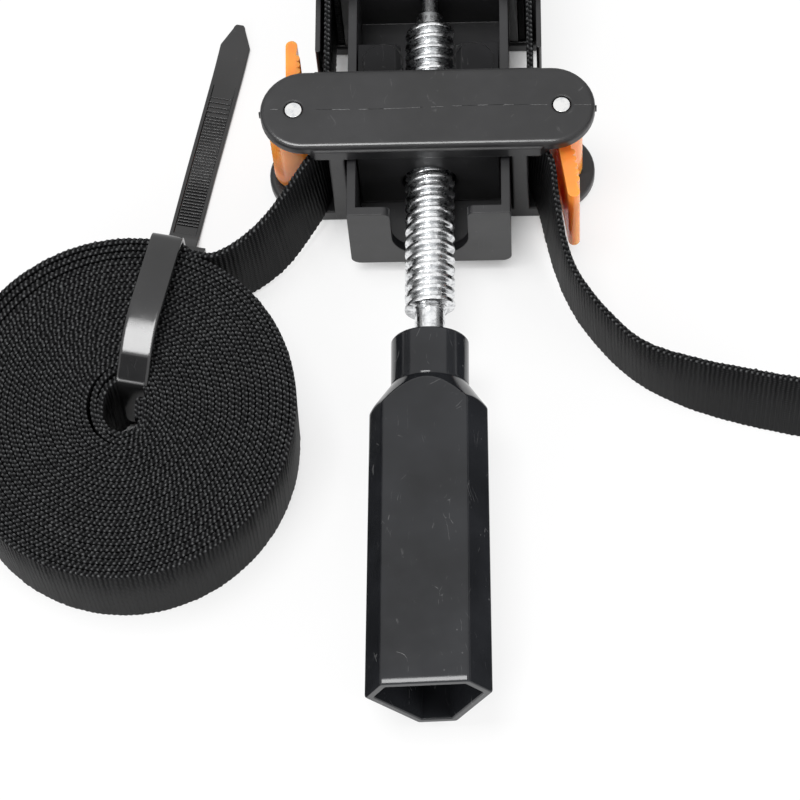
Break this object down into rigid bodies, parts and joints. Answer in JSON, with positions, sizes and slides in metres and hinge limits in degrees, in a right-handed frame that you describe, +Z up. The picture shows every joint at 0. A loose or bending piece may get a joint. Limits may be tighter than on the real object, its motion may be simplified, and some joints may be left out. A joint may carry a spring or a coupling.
{
  "type": "band clamp",
  "caption": "Webbing band clamp: a screw with a three-sided grip draws a carriage along a channel frame, cam levers grip the band.",
  "frame": {"origin": "on the surface that the clamp stands on, below the middle of the carriage, half way between the two lever pins", "axes": "+Z up, +Y along the spindle to the nose, +X to the right seen from the handle"},
  "size_m": [0.2115, 0.2103, 0.035],
  "materials": {
    "black_moulding": "fine satin moulding",
    "glossy_grip": "glossy moulding",
    "orange_lever": "glossy moulding",
    "plated_steel": "bright zinc plating",
    "aluminium_pin": "satin cut ends",
    "webbing": "woven polyester",
    "tie_plastic": "smooth nylon"
  },
  "bodies": {
    "frame": {"frame_body": "black_moulding", "band_nose_loop": "webbing", "thrust_pad": "plated_steel"},
    "spindle_set": {"spindle": "plated_steel", "handle_grip": "glossy_grip", "retaining_ring": "plated_steel"},
    "carriage": {"carriage_body": "black_moulding", "spindle_nut": "plated_steel", "left_pivot_pin": "aluminium_pin", "right_pivot_pin": "aluminium_pin", "band_left_run": "webbing", "band_right_run": "webbing", "band_left_tail": "webbing", "band_right_tail": "webbing", "band_coil": "webbing", "cable_tie_strip": "tie_plastic", "cable_tie_head": "tie_plastic"},
    "left_lever": {"left_cam_lever": "orange_lever"},
    "right_lever": {"right_cam_lever": "orange_lever"}
  },
  "joints": [
    {"name": "spindle_turn", "type": "hinge", "parent": "frame", "child": "spindle_set", "pos_m": [0, 0, 0.0173], "axis": [0, 1, 0], "range_deg": [-1440, 1560]},
    {"name": "carriage_slide", "type": "slide", "parent": "frame", "child": "carriage", "axis": [0, -1, 0], "range_m": [-0.012, 0.013]},
    {"name": "left_lever_pivot", "type": "hinge", "parent": "carriage", "child": "left_lever", "pos_m": [-0.032, 0, 0.0174], "axis": [0, 0, 1], "range_deg": [0, 155]},
    {"name": "right_lever_pivot", "type": "hinge", "parent": "carriage", "child": "right_lever", "pos_m": [0.032, 0, 0.0174], "axis": [0, 0, 1], "range_deg": [0, 170]}
  ],
  "couplings": [
    {"joint": "spindle_turn", "follows": "carriage_slide", "rad_per_m": 2094.4}
  ]
}
